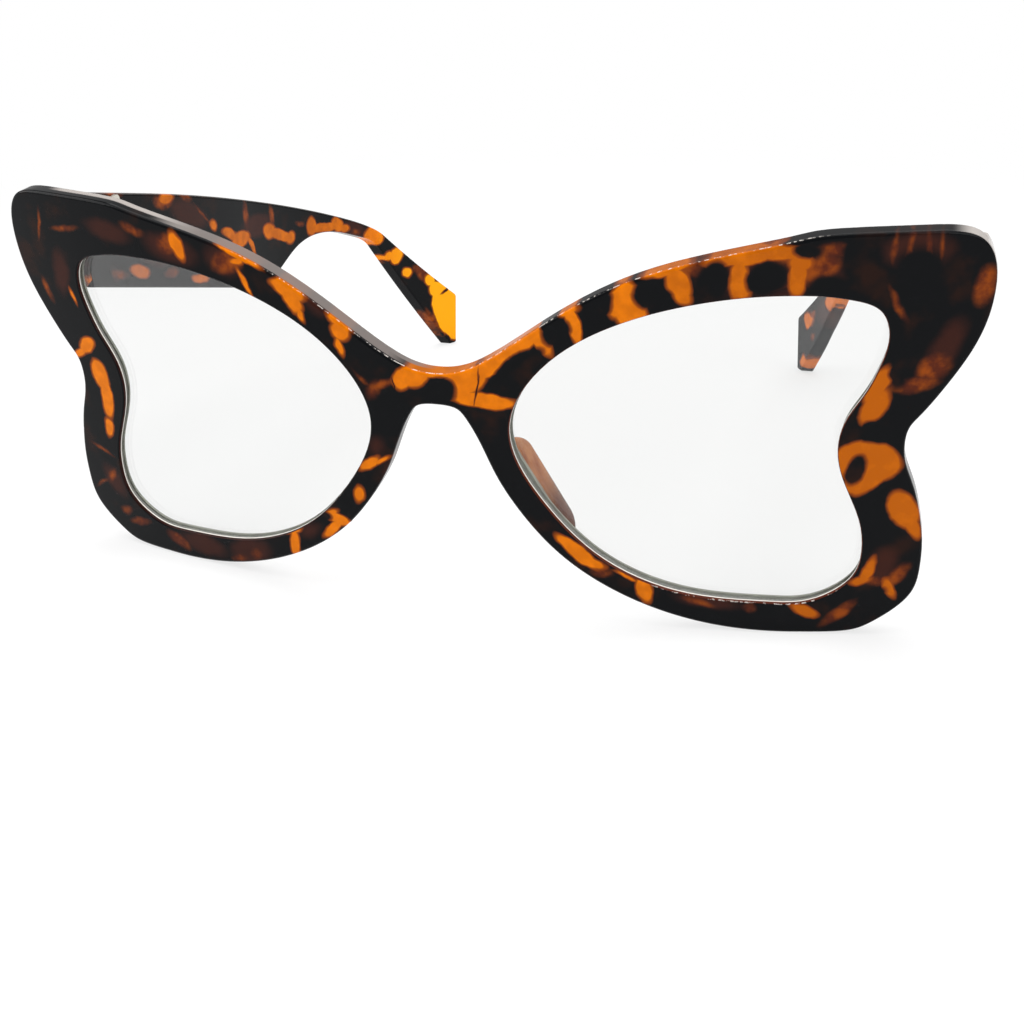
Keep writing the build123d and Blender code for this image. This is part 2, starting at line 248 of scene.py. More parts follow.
def tintUpwardWalls(tree, colour, share, tint):
    turn = splitPoint(tree, drawingNormal(tree))
    up = fade(tree, turn[2], upwardWall["up"])
    edgeOn = fade(tree, doMath(tree, "ABSOLUTE", turn[1]), upwardWall["frontOrBack"])
    return blendColour(tree, multiply(tree, up, edgeOn, share), colour, tint)


# Gloss with faint handling marks and rubbed edges
polishLook = {
    "roughness": 0.10,
    "refraction": 1.49,
    "shine": 0.08,
    "haze": {"scale": 0.12, "detail": 4.0, "spread": 0.10},
    "marks": {"scale": 1.1, "detail": 5.0, "limits": (0.60, 0.85), "added": 0.05},
    "markStretch": (0.5, 0.5, 4.0),
    "rubbed": {"limits": (0.52, 0.62), "added": 0.10},
    "ripple": {"Strength": 0.12, "Distance": 0.0002},
}


def polish(tree, shader, point, colour):
    haze, marks, rubbed = (polishLook[kind] for kind in ("haze", "marks", "rubbed"))
    hazeNoise = cloud(tree, point, haze)[0]
    inputs = {"Vector": point, "Scale": polishLook["markStretch"]}
    streaks = addNode(tree, "ShaderNodeMapping", inputs).outputs[0]
    markShare = fade(tree, cloud(tree, streaks, marks)[0], marks["limits"])
    rubbedShare = rubbedEdges(tree, rubbed["limits"])
    roughness = uneven(tree, polishLook["roughness"], haze["spread"], hazeNoise)
    roughness = doMath(tree, "MULTIPLY_ADD", markShare, marks["added"], roughness)
    roughness = doMath(tree, "MULTIPLY_ADD", rubbedShare, rubbed["added"], roughness)
    ripple = addNode(tree, "ShaderNodeBump", {**polishLook["ripple"], "Height": hazeNoise})
    tree.links.new(colour, shader.inputs["Base Color"])
    tree.links.new(roughness, shader.inputs["Roughness"])
    tree.links.new(ripple.outputs[0], shader.inputs["Normal"])
    shader.inputs["IOR"].default_value = polishLook["refraction"]
    shader.inputs["Specular IOR Level"].default_value = polishLook["shine"]


# Front: patches, each (across, up, half length, half width, turn in degrees)
frontPatches = {
    "lit": [
        # bridge, and the band that climbs from it to the right brow
        (-4.6, 40.4, 2.2, 1.5, 50), (-2.8, 40.6, 2.2, 1.3, 40), (-1.8, 41.7, 3.4, 0.9, 3),
        (2.4, 42.0, 4.0, 0.9, 4), (4.8, 40.9, 3.0, 2.2, 30), (10.3, 44.7, 6.4, 1.4, 36),
        (15.4, 48.2, 3.5, 1.1, -50), (7.6, 37.7, 4.7, 1.25, -4), (4.3, 38.3, 1.7, 1.1, -20),
        (20.6, 50.6, 3.5, 0.95, -74), (19.9, 52.3, 1.6, 0.8, 20), (27.6, 54.0, 2.7, 1.8, 70),
        (28.8, 52.1, 2.3, 1.9, -20), (33.2, 58.4, 3.2, 0.75, 15), (34.9, 56.4, 2.4, 1.4, -60),
        (35.6, 54.7, 1.3, 0.9, -30),
        # right brow and wing
        (43.0, 60.2, 4.8, 1.1, 9), (47.8, 60.8, 3.5, 0.9, 6), (42.7, 57.2, 2.8, 1.1, 84),
        (43.2, 55.4, 1.2, 1.0, 0), (50.2, 58.0, 3.2, 1.1, 88), (50.4, 59.6, 1.5, 1.2, 0),
        (61.8, 41.4, 3.0, 1.2, 68), (61.6, 38.2, 2.7, 1.4, 60), (61.2, 29.6, 4.6, 3.3, -10),
        (61.7, 27.6, 3.5, 2.2, 50), (59.9, 25.6, 1.3, 0.9, 0), (66.9, 21.7, 3.3, 1.9, -62),
        (68.4, 18.9, 2.3, 0.9, -66), (66.1, 8.2, 1.8, 0.7, -70), (62.8, 11.4, 2.0, 0.7, 75),
        (62.0, 9.6, 1.2, 0.6, 20), (54.4, 4.3, 2.0, 0.9, -28),
        # right rim from the lobe to the nose
        (30.6, 7.1, 2.2, 1.1, -78), (28.0, 9.3, 1.6, 0.25, -25), (20.6, 13.2, 4.1, 1.2, -42),
        (22.6, 11.5, 2.2, 0.9, -20),
        # left brow, wing and rim
        (-14.0, 48.4, 2.3, 1.0, -35), (-14.1, 47.0, 1.7, 1.5, -75), (-14.6, 44.4, 1.4, 0.5, -78),
        (-22.0, 52.6, 2.9, 1.2, -22), (-21.5, 51.2, 2.1, 1.3, -60), (-20.4, 49.2, 1.2, 0.4, -70),
        (-30.3, 57.3, 4.2, 0.50, -25), (-30.2, 56.2, 1.1, 0.5, 20), (-40.5, 57.7, 2.2, 0.95, -72),
        (-29.3, 52.9, 2.3, 0.35, -65), (-64.3, 46.2, 1.2, 0.3, -75), (-63.6, 37.7, 1.9, 1.2, 35),
        (-65.5, 36.1, 1.7, 0.7, 30), (-61.9, 32.6, 2.7, 1.7, -85), (-61.6, 28.6, 3.7, 1.3, 85),
        (-62.6, 22.7, 1.8, 0.9, 75), (-27.0, 7.8, 2.4, 0.9, 82), (-26.8, 10.2, 1.4, 0.4, 25),
        (-18.4, 14.2, 2.3, 1.2, -20), (-19.4, 12.2, 2.4, 0.8, 48), (-19.4, 15.4, 1.2, 0.5, 30),
        (-14.1, 19.3, 1.4, 0.9, 70), (-11.8, 25.2, 2.0, 0.7, 40), (-9.7, 26.0, 1.6, 0.4, 25),
    ],
    "dim": [
        (36.6, 58.7, 2.4, 1.3, 20), (45.5, 58.6, 6.4, 3.2, 8), (53.0, 58.6, 2.9, 2.0, 30),
        (67.0, 10.3, 2.5, 1.1, 50), (54.4, 61.0, 1.8, 1.2, 0), (67.0, 41.5, 2.9, 1.2, 14),
        (64.6, 41.0, 1.4, 0.7, 0), (62.2, 61.4, 1.9, 0.35, 88), (64.1, 61.6, 2.0, 0.40, 85),
        (66.3, 61.5, 1.8, 0.35, 92), (68.0, 61.2, 1.4, 0.30, 88), (63.3, 53.3, 2.7, 0.5, -62),
        (74.1, 55.6, 3.0, 1.5, 80), (68.6, 43.8, 2.6, 1.9, 50), (59.3, 3.7, 3.3, 1.0, 45),
        (38.6, 5.4, 2.3, 0.6, -18), (46.2, 4.5, 1.0, 0.8, -20), (24.3, 9.7, 1.6, 0.8, 0),
        (64.4, 9.4, 1.8, 0.8, 0), (-11.4, 39.6, 1.4, 0.3, -45), (-9.7, 37.9, 1.6, 1.0, 60),
        (-8.3, 38.9, 2.5, 0.7, 24), (-40.6, 57.6, 2.4, 1.0, -70), (-32.0, 55.9, 2.9, 1.8, 20),
        (-42.2, 57.8, 2.1, 1.6, 30), (-48.8, 59.4, 2.3, 0.9, -20), (-63.2, 57.7, 3.0, 0.5, 8),
        (-68.6, 57.6, 2.6, 0.4, 75), (-70.0, 46.4, 2.0, 0.6, -70), (-65.2, 17.8, 2.4, 0.4, -20),
        (-64.4, 12.8, 1.7, 0.7, 60), (-67.0, 10.9, 2.0, 0.4, 35), (-62.6, 6.4, 1.3, 0.9, 20),
        (-59.8, 4.7, 2.3, 0.8, 10), (-51.4, 3.1, 2.6, 1.2, -30), (-38.8, 2.7, 1.4, 0.6, 15),
        (-34.8, 4.3, 1.0, 0.8, 45), (-62.0, 24.4, 0.9, 0.5, 20),
    ],
    "dark": [
        (1.0, 38.8, 2.5, 2.4, 0), (12.6, 43.1, 5.2, 2.0, 38), (31.1, 55.1, 2.4, 2.3, 60),
        (39.3, 56.8, 3.0, 2.3, 75), (46.3, 57.3, 2.9, 2.4, 20), (51.3, 61.3, 1.8, 1.2, 0),
        (54.6, 55.4, 3.6, 1.9, 0), (58.4, 60.0, 2.6, 4.6, 0), (65.6, 57.6, 3.2, 3.2, 0),
        (64.2, 43.2, 2.4, 1.1, 88), (62.8, 34.3, 3.4, 2.1, 0), (65.6, 38.0, 2.0, 1.4, 30),
        (59.9, 28.2, 2.5, 1.45, 75), (63.8, 6.8, 2.4, 1.6, 30), (24.0, 53.0, 2.2, 3.0, -30),
        (18.2, 48.9, 2.0, 2.4, -40), (6.3, 39.6, 3.2, 0.14, 80), (-6.3, 38.6, 3.2, 0.16, -82),
        (-21.0, 14.2, 1.6, 1.2, 30), (-16.6, 15.9, 1.6, 1.0, -20), (-63.4, 35.7, 2.2, 0.35, 20),
        (71.6, 59.0, 1.6, 4.0, 0),
    ],
    "smoky": [
        (46.8, 58.2, 10.0, 3.8, 3), (65.0, 60.8, 4.6, 2.6, 0), (-42.0, 57.0, 5.0, 2.4, -10),
        (-33.0, 56.0, 3.4, 2.2, -25), (-54.0, 58.6, 4.6, 1.8, -8), (-36.0, 4.6, 4.6, 2.4, 15),
        (-46.0, 3.6, 5.0, 2.2, -5), (-23.8, 11.0, 2.6, 1.3, 35), (-10.2, 28.4, 2.0, 1.4, 60),
        (-8.6, 24.0, 1.6, 1.0, 55), (-64.0, 12.0, 3.4, 2.0, -60), (-17.6, 51.0, 2.4, 1.8, -35),
        (40.0, 5.6, 5.0, 1.4, -10), (64.6, 12.0, 3.4, 2.4, 60), (70.0, 47.0, 4.4, 2.0, 65),
        (-66.0, 50.0, 4.0, 1.8, 80),
    ],
}

# How far lit patches go towards amber: more at the left, less at the right corner
frontGlow = {
    "left": (42.0, 24.0),
    "leftShare": 0.55,
    "rightCorner": (42.0, 52.0),
    "rightShare": 0.30,
}


def warmTowardsLeft(tree, point):
    x = splitPoint(tree, point)[0]
    left = multiply(tree, fade(tree, x, frontGlow["left"]), frontGlow["leftShare"])
    right = multiply(tree, fade(tree, x, frontGlow["rightCorner"]), frontGlow["rightShare"])
    return doMath(tree, "SUBTRACT", left, right)


# Middle and half size of an opening, to tell its own walls from the outer ones
openingPlace = {"middle": (37.0, 30.0), "halfSize": (26.0, 25.0)}


def bentFace(tree, x):
    radius = standing["faceRadius"]
    chord = doMath(tree, "SQRT", doMath(tree, "SUBTRACT", radius ** 2, multiply(tree, x, x)))
    return doMath(tree, "SUBTRACT", radius, chord)


def fromOpening(tree, value, axis):
    offset = doMath(tree, "SUBTRACT", value, openingPlace["middle"][axis])
    return doMath(tree, "DIVIDE", offset, openingPlace["halfSize"][axis])


# Where a point of the front is, and which way its surface is turned
def frontSpot(tree, point):
    x, y, z = splitPoint(tree, point)
    side = doMath(tree, "ABSOLUTE", x)
    turn = splitPoint(tree, drawingNormal(tree))
    sideTurn = multiply(tree, turn[0], doMath(tree, "SIGN", x))
    upPart = multiply(tree, fromOpening(tree, z, 1), turn[2])
    return {
        "point": point,
        "x": x,
        "z": z,
        "side": side,  # to either side of the middle
        "behind": doMath(tree, "SUBTRACT", y, bentFace(tree, x)),  # millimetres behind the face
        "turn": turn,
        "faceOn": doMath(tree, "ABSOLUTE", turn[1]),  # one on the front and rear faces
        # how far the surface is turned away from the middle of its opening
        "outward": doMath(tree, "MULTIPLY_ADD", fromOpening(tree, side, 0), sideTurn, upPart),
    }


# Top wall: painted shade, ink laid over the shell where it faces the lamps, and left of the bridge a
# painted reflection in grey
topWallLightLook = {
    "shade": 0.38,  # share of ink, as painted shade
    "leftStretch": ((0.5, -4.0), (-67.0, -63.0)),  # across the front
    "rearHalf": (1.5, 1.9),  # behind the face
    "wideStretch": ((-46.0, -38.0), (-3.0, -8.0)),  # painted reflection nearly to the front edge
    "wideFrom": (0.50, 0.70),
    "reflectionShare": 0.9,
    "farLeft": (-36.0, -46.0),  # paler painted reflection from here
    "paleReflectionShare": 0.6,
}


def paintTopWallLight(tree, spot, colour):
    look = topWallLightLook
    # Painted shade of ink first, then the painted reflection in grey and in paler grey
    colour = tintUpwardWalls(tree, colour, look["shade"], shellLook["ink"])
    wideStretch = along(tree, spot["x"], look["wideStretch"])
    wide = multiply(tree, wideStretch, fade(tree, spot["behind"], look["wideFrom"]))
    reflectionPart = doMath(tree, "MAXIMUM", fade(tree, spot["behind"], look["rearHalf"]), wide)
    leftTop = multiply(tree, along(tree, spot["x"], look["leftStretch"]), reflectionPart)
    colour = tintUpwardWalls(tree, colour, multiply(tree, leftTop, look["reflectionShare"]), shellLook["reflectionGrey"])
    farLeft = multiply(tree, leftTop, fade(tree, spot["x"], look["farLeft"]), look["paleReflectionShare"])
    return tintUpwardWalls(tree, colour, farLeft, shellLook["paleReflection"])


# Outer wall of the right corner: pale painted reflection
cornerReflectionLook = {"across": (69.0, 72.0), "up": (50.0, 55.0), "edgeOn": (0.6, 0.4), "paleReflectionShare": 0.85}


def paintCornerReflection(tree, spot, colour):
    across = fade(tree, spot["x"], cornerReflectionLook["across"])
    up = fade(tree, spot["z"], cornerReflectionLook["up"])
    edgeOn = fade(tree, spot["faceOn"], cornerReflectionLook["edgeOn"])
    # painted reflection in pale grey
    share = multiply(tree, across, up, edgeOn, cornerReflectionLook["paleReflectionShare"])
    return blendColour(tree, share, colour, shellLook["paleReflection"])


# Walls of the lens openings: a dark bevel, a pale line where the lens begins, and a grey-green groove
wallLook = {
    "bevel": (0.022, 0.0045, 0.003, 1),
    "warmBevel": (0.085, 0.018, 0.009, 1),  # right opening
    "line": (0.80, 0.76, 0.70, 1),
    "groove": (0.36, 0.37, 0.31, 1),
    "grooveDark": (0.13, 0.13, 0.11, 1),
    "grooveCloud": {"scale": 0.35, "detail": 3.0},
}
# Limits: of the surface's turn, in millimetres across the front, and then behind its face
wallPlace = {
    "inward": (-0.22, -0.42),
    "notFaceOn": (0.88, 0.74),
    "turnedToFront": (-0.4, -0.7),  # the groove's rear side
    "warmer": (-5.0, 12.0),
    "plateEnd": (3.50, 3.25),  # leaves out the blocks behind the corners
    "bevelFrom": (0.02, 0.14),
    "lensLineFrom": (0.50, 0.58),
    "grooveFrom": (0.74, 0.82),
    "darkLine": ((0.78, 0.84), (1.00, 0.94)),
    "rearLine": ((1.95, 2.03), (2.25, 2.17)),
    "grooveRear": ((1.6, 2.0), (3.0, 2.8)),
}


def dressOpenings(tree, spot, colour):
    place = wallPlace
    behind = spot["behind"]
    inWall = multiply(tree, fade(tree, spot["outward"], place["inward"]),
                      fade(tree, spot["faceOn"], place["notFaceOn"]),
                      fade(tree, behind, place["plateEnd"]))
    grooveRear = multiply(tree, fade(tree, spot["turn"][1], place["turnedToFront"]),
                          along(tree, behind, place["grooveRear"]))
    behindLens = multiply(tree, inWall, fade(tree, behind, place["grooveFrom"]))
    noise = cloud(tree, spot["point"], wallLook["grooveCloud"])[0]
    warmth = fade(tree, spot["x"], place["warmer"])
    bevelTone = blendColour(tree, warmth, wallLook["bevel"], wallLook["warmBevel"])
    grooveTone = blendColour(tree, noise, wallLook["grooveDark"], wallLook["groove"])
    layers = (
        (bevelTone, multiply(tree, inWall, fade(tree, behind, place["bevelFrom"]))),
        (wallLook["line"], multiply(tree, inWall, fade(tree, behind, place["lensLineFrom"]))),
        (grooveTone, doMath(tree, "MAXIMUM", behindLens, grooveRear)),
        (wallLook["bevel"], multiply(tree, inWall, along(tree, behind, place["darkLine"]))),
        (wallLook["line"], multiply(tree, inWall, along(tree, behind, place["rearLine"]))),
    )
    for tone, share in layers:
        colour = blendColour(tree, share, colour, tone)
    return colour


# Painted highlight: pale dashes along the brow's front edge and the lower front edge of the openings,
# where glints fall on the rounded edges
edgeGlintLook = {
    "glint": (0.78, 0.72, 0.66, 1),
    "share": 0.6,
    "dashes": {"scale": 1.8, "detail": 2.0, "limits": (0.50, 0.60)},
    "facingUp": (0.35, 0.6),
    "brow": {
        "turn": (0.0, 0.3),
        "across": ((-32.0, -27.0), (55.0, 50.0)),
        "behind": ((0.20, 0.26), (0.42, 0.36)),
    },
    "opening": {
        "turn": (0.0, -0.3),
        "across": ((30.0, 34.0), (60.0, 56.0)),
        "behind": (0.22, 0.16),
    },
}


def paintEdgeGlints(tree, spot, colour):
    look, brow, opening = edgeGlintLook, edgeGlintLook["brow"], edgeGlintLook["opening"]
    noise = cloud(tree, spot["point"], look["dashes"])[0]
    dashes = fade(tree, noise, look["dashes"]["limits"])
    onBrow = multiply(tree, fade(tree, spot["outward"], brow["turn"]),
                      along(tree, spot["x"], brow["across"]),
                      along(tree, spot["behind"], brow["behind"]))
    onOpening = multiply(tree, fade(tree, spot["outward"], opening["turn"]),
                         along(tree, spot["x"], opening["across"]),
                         fade(tree, spot["behind"], opening["behind"]))
    lines = doMath(tree, "MAXIMUM", onBrow, onOpening)
    # painted highlight: glint dashes laid over the shell
    wearAndGlint = multiply(tree, dashes, lines, fade(tree, spot["turn"][2], look["facingUp"]), look["share"])
    return blendColour(tree, wearAndGlint, colour, look["glint"])


# Nose pads: thin, so lighter and streaked; limits are in millimetres
padLook = {
    "colour": (0.24, 0.055, 0.006, 1),
    "pale": (0.40, 0.150, 0.045, 1),
    "top": (0.38, 0.200, 0.120, 1),
    "low": (0.040, 0.006, 0.003, 1),
    "side": (22.5, 21.5),
    "height": ((37.0, 36.0), (12.0, 13.0)),
    "behind": (3.15, 3.45),
    "topFrom": (26.0, 34.0),
    "topShare": 0.8,
    "lowFrom": (25.0, 18.0),
    "lowShare": 0.85,
    "veins": {"turn": 29, "stretch": (1.0, 1.0, 0.12), "scale": 0.5, "detail": 3.0, "limits": (0.3, 0.7)},
}


def dressNosePads(tree, spot, colour):
    look, veins = padLook, padLook["veins"]
    inputs = {"Vector": spot["point"], "Rotation": (0, math.radians(veins["turn"]), 0),
              "Scale": veins["stretch"]}
    streaks = addNode(tree, "ShaderNodeMapping", inputs).outputs[0]
    veined = fade(tree, cloud(tree, streaks, veins)[0], veins["limits"])
    tone = blendColour(tree, veined, look["colour"], look["pale"])
    topShare = multiply(tree, fade(tree, spot["z"], look["topFrom"]), look["topShare"])
    lowShare = multiply(tree, fade(tree, spot["z"], look["lowFrom"]), look["lowShare"])
    tone = blendColour(tree, topShare, tone, look["top"])
    tone = blendColour(tree, lowShare, tone, look["low"])
    onPad = multiply(tree, fade(tree, spot["behind"], look["behind"]),
                     fade(tree, spot["side"], look["side"]),
                     along(tree, spot["z"], look["height"]))
    return blendColour(tree, onPad, colour, tone)


def makeFront():
    shell = tortoiseshell("frontShell", frontPlane, frontPatches, warmTowardsLeft)
    material, tree, shader, point, colour = shell
    spot = frontSpot(tree, point)
    for dress in (paintTopWallLight, paintCornerReflection, dressOpenings, paintEdgeGlints, dressNosePads):
        colour = dress(tree, spot, colour)
    polish(tree, shader, point, colour)
    setMaterial("front_frame", material)


makeFront()
print("front: shell patches and nose pads done")

# Arms: patches placed along (back, up) of the drawing
leftArmPatches = {
    "lit": [
        (39.4, 53.2, 2.4, 1.0, -12), (53.6, 43.4, 1.4, 1.0, -45), (58.8, 39.8, 2.6, 0.9, -30),
        (63.0, 37.6, 3.5, 1.5, -12), (66.7, 35.0, 2.5, 0.6, -65), (74.3, 35.3, 2.3, 1.5, -25),
        (78.6, 33.0, 4.3, 1.2, -27), (81.8, 31.4, 1.5, 1.3, 0), (89.9, 31.4, 2.1, 1.6, -70),
        (94.2, 29.7, 4.7, 1.1, -14), (98.8, 29.0, 2.3, 1.6, -40), (101.2, 27.4, 1.7, 1.0, -20),
        (110.4, 22.5, 3.2, 2.2, -35), (117.0, 15.6, 2.2, 1.9, -30), (114.6, 16.2, 1.2, 1.0, 0),
        (119.9, 10.2, 1.6, 1.2, -35), (126.6, 5.8, 2.0, 1.3, -50), (128.8, 2.4, 3.0, 2.1, -40),
        (131.4, -4.6, 9.0, 4.0, -72), (28.6, 43.2, 2.9, 1.2, -28), (47.0, 35.2, 2.8, 0.8, -20),
        (33.8, 50.4, 1.6, 0.8, -60),
    ],
    "dim": [
        (38.6, 53.0, 3.4, 1.7, -14), (50.4, 46.6, 2.9, 0.35, -50), (66.2, 41.4, 2.7, 1.0, 88),
        (75.8, 38.2, 2.5, 0.9, 88), (23.0, 44.6, 2.4, 1.0, -26), (38.0, 39.6, 2.4, 0.9, -20),
        (124.0, 8.6, 3.3, 1.3, -52), (45.6, 51.4, 2.0, 0.8, -30), (24.0, 58.4, 2.8, 0.8, -20),
        (30.4, 47.6, 3.2, 1.0, -50), (57.0, 33.6, 2.4, 0.8, -20), (104.8, 25.4, 1.4, 0.7, -20),
        (126.6, -5.0, 4.2, 1.0, -62), (52.4, 38.6, 1.8, 0.8, 30), (86.0, 33.4, 1.6, 0.6, -20),
    ],
    "dark": [
        (131.0, 1.6, 1.6, 0.4, 20), (95.2, 31.9, 1.9, 0.8, -15), (122.6, 13.6, 3.0, 1.0, -50),
        (130.6, -11.8, 2.2, 0.6, -58),
    ],
    "smoky": [
        (46.0, 48.0, 7.0, 2.4, -30), (70.0, 38.0, 6.0, 2.6, -10), (104.0, 26.0, 5.0, 2.4, -30),
        (34.0, 45.0, 6.0, 2.6, -30),
    ],
}

rightArmPatches = {
    "lit": [
        (40.4, 47.0, 4.6, 0.8, 26), (46.4, 44.6, 1.8, 0.7, -45), (53.6, 40.8, 6.0, 0.6, 6),
        (59.4, 35.4, 5.4, 2.0, -16), (48.2, 36.0, 2.0, 1.1, 10), (70.2, 34.0, 4.8, 0.8, 82),
        (74.0, 40.8, 3.6, 1.1, 35), (77.6, 36.0, 3.2, 0.9, -30), (31.0, 49.8, 3.4, 0.7, 70),
        (90.6, 30.4, 3.4, 1.5, -18), (98.8, 28.0, 2.8, 1.4, -26), (27.0, 43.2, 2.8, 1.0, -10),
        (118.8, 9.7, 3.2, 1.2, -30), (128.9, 0.6, 2.2, 1.2, -45), (129.3, -10.4, 2.4, 1.4, -20),
        (64.4, 39.4, 3.2, 0.5, 60), (43.6, 51.6, 2.8, 0.45, -60), (85.6, 33.4, 2.6, 0.5, 50),
        (109.0, 21.6, 3.2, 0.9, -50), (61.8, 33.4, 2.4, 1.2, 35), (50.6, 39.4, 2.0, 0.6, 60),
        (36.4, 45.2, 2.4, 0.5, -40), (94.6, 28.6, 2.4, 0.6, 20),
    ],
    "dim": [
        (24.6, 54.4, 3.6, 1.5, 75), (37.6, 50.0, 2.4, 1.2, 60), (54.6, 47.6, 3.0, 0.9, -16),
        (66.2, 43.4, 3.0, 1.0, -20), (33.2, 41.8, 3.0, 1.2, -12), (84.4, 34.8, 3.2, 1.2, -20),
        (105.4, 24.6, 3.0, 1.2, -36), (113.6, 11.8, 2.2, 1.1, -30), (128.4, 1.2, 3.0, 1.8, -50),
        (126.6, -2.8, 1.8, 1.0, -50), (63.2, 30.6, 3.0, 0.9, -18), (19.0, 49.8, 2.4, 1.2, 70),
        (128.6, -9.6, 3.2, 1.8, -20),
    ],
    "dark": [
        (59.0, 37.2, 1.8, 0.7, -16), (76.6, 33.8, 3.6, 1.4, -12), (40.0, 44.6, 1.8, 0.7, 20),
    ],
    "smoky": [
        (36.0, 48.0, 6.0, 2.6, -20), (62.0, 40.0, 6.0, 2.4, -14), (92.0, 33.0, 6.0, 2.4, -24),
        (122.0, 6.0, 5.0, 2.2, -45),
    ],
}

armLook = {
    "reflectionShare": 0.15,  # of pale painted reflection on the upper wall
    "plainGlow": 0.2,
    "tipGlow": 1.5,
    "tipFrom": (98.0, 128.0),  # mm back along the arm, where thin plastic lights up
    "raggedWander": 1.5,  # the right arm's patches are ragged, like flames
}


def evenGlow(tree, point):
    return armLook["plainGlow"]


def brightTip(tree, point):
    return multiply(tree, fade(tree, splitPoint(tree, point)[1], armLook["tipFrom"]), armLook["tipGlow"])


def makeArm(side, patches, glow, look=shellLook):
    shell = tortoiseshell(side + "ArmShell", armPlane, patches, glow, look)
    material, tree, shader, point, colour = shell
    # Painted reflection in pale grey on the walls that face up
    colour = tintUpwardWalls(tree, colour, armLook["reflectionShare"], shellLook["paleReflection"])
    polish(tree, shader, point, colour)
    setMaterial("temple_" + side, material)


makeArm("left", leftArmPatches, brightTip)
makeArm("right", rightArmPatches, evenGlow, dict(shellLook, wander=armLook["raggedWander"]))
print("arms: shell patches done")

# Lenses: clear, with a ground edge that shows grey-green inside the rim
lensLook = {
    "clear": (0.86, 0.865, 0.86, 1),
    "refraction": 1.5,
    "roughness": 0.004,
    "smear": {"scale": 0.05, "detail": 3.0, "limits": (0.5, 0.8), "added": 0.012},
    "edge": (0.30, 0.31, 0.28, 1),
    "edgeDark": (0.12, 0.125, 0.115, 1),
    "edgeCloud": {"scale": 2.5, "detail": 3.0},
    "edgeRoughness": 0.35,
    "edgeFrom": (0.88, 0.80),  # the lens faces turn further to the front or back than this
    "forLamps": (0.93, 0.94, 0.93, 1),  # what passes through, so that shadows stay light
}


def groundEdge(tree, where):
    look = lensLook
    noise = cloud(tree, where, look["edgeCloud"])[0]
    inputs = {"Base Color": blendColour(tree, noise, look["edgeDark"], look["edge"]),
              "Roughness": look["edgeRoughness"]}
    return addNode(tree, "ShaderNodeBsdfPrincipled", inputs).outputs[0]


def makeLenses():
    look, smear = lensLook, lensLook["smear"]
    material, tree, shader = newMaterial("clearLens")
    where = drawingPoint(tree)
    smeared = fade(tree, cloud(tree, where, smear)[0], smear["limits"])
    roughness = doMath(tree, "MULTIPLY_ADD", smeared, smear["added"], look["roughness"])
    tree.links.new(roughness, shader.inputs["Roughness"])
    shader.inputs["Base Color"].default_value = look["clear"]
    shader.inputs["IOR"].default_value = look["refraction"]
    shader.inputs["Transmission Weight"].default_value = 1.0

    faceOn = doMath(tree, "ABSOLUTE", splitPoint(tree, pieceNormal(tree))[1])
    inputs = {0: fade(tree, faceOn, look["edgeFrom"]), 1: shader.outputs[0], 2: groundEdge(tree, where)}
    body = addNode(tree, "ShaderNodeMixShader", inputs).outputs[0]
    towardsLamp = addNode(tree, "ShaderNodeLightPath").outputs["Is Shadow Ray"]
    clearWay = addNode(tree, "ShaderNodeBsdfTransparent", {0: look["forLamps"]}).outputs[0]
    final = addNode(tree, "ShaderNodeMixShader", {0: towardsLamp, 1: body, 2: clearWay}).outputs[0]
    tree.links.new(final, tree.nodes["Material Output"].inputs["Surface"])
    for side in ("right", "left"):
        setMaterial("lens_" + side, material)


makeLenses()
print("lenses: done")

# Hinge metal: nickel silver with a fine brushed grain, and a bright turned screw
leafLook = {
    "colour": (0.56, 0.53, 0.47, 1),
    "wearAndGlint": (0.70, 0.67, 0.60, 1),
    "roughness": 0.30,
    "stretch": (0.4, 9.0, 0.4),
}
screwLook = {
    "colour": (0.62, 0.61, 0.60, 1),
    "wearAndGlint": (0.80, 0.79, 0.77, 1),
    "roughness": 0.22,
    "stretch": (0.6, 0.6, 8.0),
}
brushLook = {
    "scale": 3.0,
    "detail": 4.0,
    "tone": 0.5,  # share of the grain in the colour
    "spread": 0.18,  # of the roughness
    "rubbed": (0.50, 0.60),
    "bump": {"Strength": 0.2, "Distance": 0.00005},
}


def brushedMetal(name, look):
    material, tree, shader = newMaterial(name)
    inputs = {"Vector": drawingPoint(tree), "Scale": look["stretch"]}
    stretched = addNode(tree, "ShaderNodeMapping", inputs).outputs[0]
    grain = cloud(tree, stretched, brushLook)[0]
    wearAndGlint = doMath(tree, "MULTIPLY_ADD", grain, brushLook["tone"], rubbedEdges(tree, brushLook["rubbed"]))
    tree.links.new(blendColour(tree, wearAndGlint, look["colour"], look["wearAndGlint"]), shader.inputs["Base Color"])
    tree.links.new(uneven(tree, look["roughness"], brushLook["spread"], grain), shader.inputs["Roughness"])
    shader.inputs["Metallic"].default_value = 1.0
    bump = addNode(tree, "ShaderNodeBump", {**brushLook["bump"], "Height": grain})
    tree.links.new(bump.outputs[0], shader.inputs["Normal"])
    return material


leafMetal = brushedMetal("nickelSilver", leafLook)
screwMetal = brushedMetal("turnedSteel", screwLook)
for side in ("right", "left"):
    setMaterial("hinge_front_leaf_" + side, leafMetal)
    setMaterial("hinge_temple_leaf_" + side, leafMetal)
    setMaterial("hinge_screw_" + side, screwMetal)
print("hinges: done")

# Camera, set on the drawing in millimetres and degrees, then leaned with the glasses
cameraPlace = {
    "lookAt": (11.56, 0.0, 35.07),
    "distance": 179.4,
    "yaw": 17.29,
    "pitch": 26.91,
    "roll": -2.86,
    "lens": 43.66,
    "sensor": 36,
    "shiftDown": 0.0898,
    "nearest": 0.01,  # metres
}


